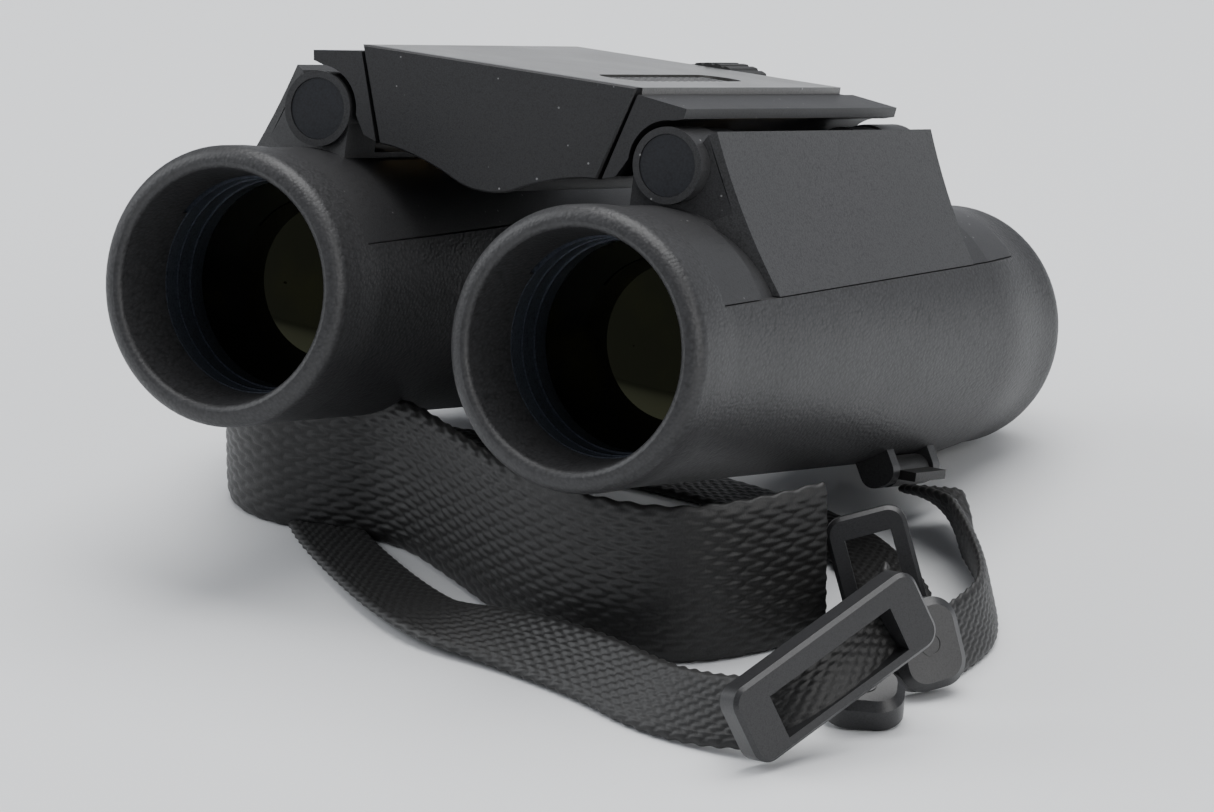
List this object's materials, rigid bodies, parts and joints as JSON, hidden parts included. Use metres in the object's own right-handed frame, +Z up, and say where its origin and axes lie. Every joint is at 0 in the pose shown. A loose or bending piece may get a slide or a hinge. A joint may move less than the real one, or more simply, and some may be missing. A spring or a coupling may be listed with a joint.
{
  "type": "binoculars",
  "caption": "Compact roof-prism binoculars: two rubber-armoured barrels hinged under a central bridge with a focus wheel, standing nose-up on a woven neck strap.",
  "frame": {"origin": "bottom centre of the binoculars' bounding box without the strap, on the surface they stand on, nose up on the strap and on the rear ends of the barrels", "axes": "+Z up, +Y from the objectives to the eyepieces, +X across the barrels to the user's right; the barrel axes lie in the YZ direction, 14.17 degrees nose up"},
  "size_m": [0.1285, 0.1377, 0.0682],
  "materials": {
    "tube_black": "satin black",
    "armour_rubber": "leather-grained charcoal rubber",
    "flank_grey": "satin dark grey, fine grained",
    "cell_black": "black anodised, stepped",
    "coated_glass": "coated optical glass",
    "cap_black": "smooth blue-black",
    "pin_steel": "bright steel",
    "bridge_black": "fine matte black paint with pale specks",
    "cover_satin": "satin metallic",
    "wheel_rubber": "ribbed black rubber",
    "carriage_brass": "turned brass",
    "webbing": "woven black webbing",
    "buckle_black": "satin black moulded plastic"
  },
  "bodies": {
    "focus_wheel": {"focus_wheel": "wheel_rubber", "focus_spindle": "pin_steel"},
    "focus_carriage": {"focus_carriage": "carriage_brass"},
    "left_focus": {"left_focus_cell": "cell_black", "left_focus_lens": "coated_glass"},
    "right_focus": {"right_focus_cell": "cell_black", "right_focus_lens": "coated_glass"},
    "left_eyecup": {"left_eyecup": "wheel_rubber"},
    "right_ocular": {"right_eyepiece_housing": "cell_black", "right_field_lens": "coated_glass", "right_eye_lens": "coated_glass"},
    "right_eyecup": {"right_eyecup": "wheel_rubber"},
    "dioptre_ring": {"right_dioptre_ring": "wheel_rubber"},
    "left_barrel": {"left_armour": "armour_rubber", "left_eye_lens": "coated_glass", "left_eyepiece_collar": "wheel_rubber", "left_eyepiece_housing": "cell_black", "left_field_lens": "coated_glass", "left_flank_cover": "flank_grey", "left_half_penta_prism": "coated_glass", "left_hinge_caps": "cap_black", "left_lug_loop": "webbing", "left_objective_cell": "cell_black", "left_objective_lens": "coated_glass", "left_objective_lock_ring": "cell_black", "left_prism_cage": "cell_black", "left_roof_prism": "coated_glass", "left_strap_lug_pin": "pin_steel", "left_tube": "tube_black"},
    "right_barrel": {"right_armour": "armour_rubber", "right_flank_cover": "flank_grey", "right_half_penta_prism": "coated_glass", "right_hinge_caps": "cap_black", "right_lug_loop": "webbing", "right_objective_cell": "cell_black", "right_objective_lens": "coated_glass", "right_objective_lock_ring": "cell_black", "right_prism_cage": "cell_black", "right_roof_prism": "coated_glass", "right_strap_lug_pin": "pin_steel", "right_tube": "tube_black"},
    "bridge": {"bottom_cover": "flank_grey", "bridge_body": "bridge_black", "front_plate": "bridge_black", "hinge_pins": "pin_steel", "rear_plate": "bridge_black", "rear_plate_screws": "pin_steel", "strap_band": "webbing", "strap_front_webbing": "webbing", "strap_keeper_front": "buckle_black", "strap_keeper_rear": "buckle_black", "strap_left_webbing": "webbing", "strap_rear_webbing": "webbing", "strap_right_webbing": "webbing", "strap_slider_front": "buckle_black", "strap_slider_rear": "buckle_black", "top_cover": "cover_satin"}
  },
  "joints": [
    {"name": "left_fold", "type": "hinge", "parent": "bridge", "child": "left_barrel", "pos_m": [-0.0258, -0.00186, 0.0519], "axis": [0, 0.9696, -0.2448], "range_deg": [-19, 22]},
    {"name": "right_fold", "type": "hinge", "parent": "bridge", "child": "right_barrel", "pos_m": [0.0258, -0.00186, 0.0519], "axis": [0, -0.9696, 0.2448], "range_deg": [-19, 22]},
    {"name": "focus_turn", "type": "hinge", "parent": "bridge", "child": "focus_wheel", "pos_m": [0, 0.02723, 0.04456], "axis": [0, 0.9696, -0.2448], "range_deg": [-270, 270]},
    {"name": "carriage_slide", "type": "slide", "parent": "bridge", "child": "focus_carriage", "axis": [0, 0.9696, -0.2448], "range_m": [-0.00224, 0.00224]},
    {"name": "left_focus_slide", "type": "slide", "parent": "left_barrel", "child": "left_focus", "axis": [0, 0.9696, -0.2448], "range_m": [-0.0023, 0.0023]},
    {"name": "right_focus_slide", "type": "slide", "parent": "right_barrel", "child": "right_focus", "axis": [0, 0.9696, -0.2448], "range_m": [-0.0023, 0.0023]},
    {"name": "dioptre_turn", "type": "hinge", "parent": "right_barrel", "child": "dioptre_ring", "pos_m": [0.0258, 0.05461, 0.01413], "axis": [0, 0.9696, -0.2448], "range_deg": [-45, 45]},
    {"name": "right_ocular_slide", "type": "slide", "parent": "right_barrel", "child": "right_ocular", "axis": [0, 0.9696, -0.2448], "range_m": [-0.00059, 0.00059]},
    {"name": "left_eyecup_slide", "type": "slide", "parent": "left_barrel", "child": "left_eyecup", "axis": [0, 0.9696, -0.2448], "range_m": [0, 0.0045]},
    {"name": "right_eyecup_slide", "type": "slide", "parent": "right_ocular", "child": "right_eyecup", "axis": [0, 0.9696, -0.2448], "range_m": [0, 0.0045]}
  ],
  "couplings": [
    {"joint": "focus_turn", "follows": "carriage_slide", "rad_per_m": 2094.4},
    {"joint": "left_focus_slide", "follows": "carriage_slide", "ratio": 1},
    {"joint": "right_focus_slide", "follows": "carriage_slide", "ratio": 1},
    {"joint": "dioptre_turn", "follows": "right_ocular_slide", "rad_per_m": 1309}
  ]
}
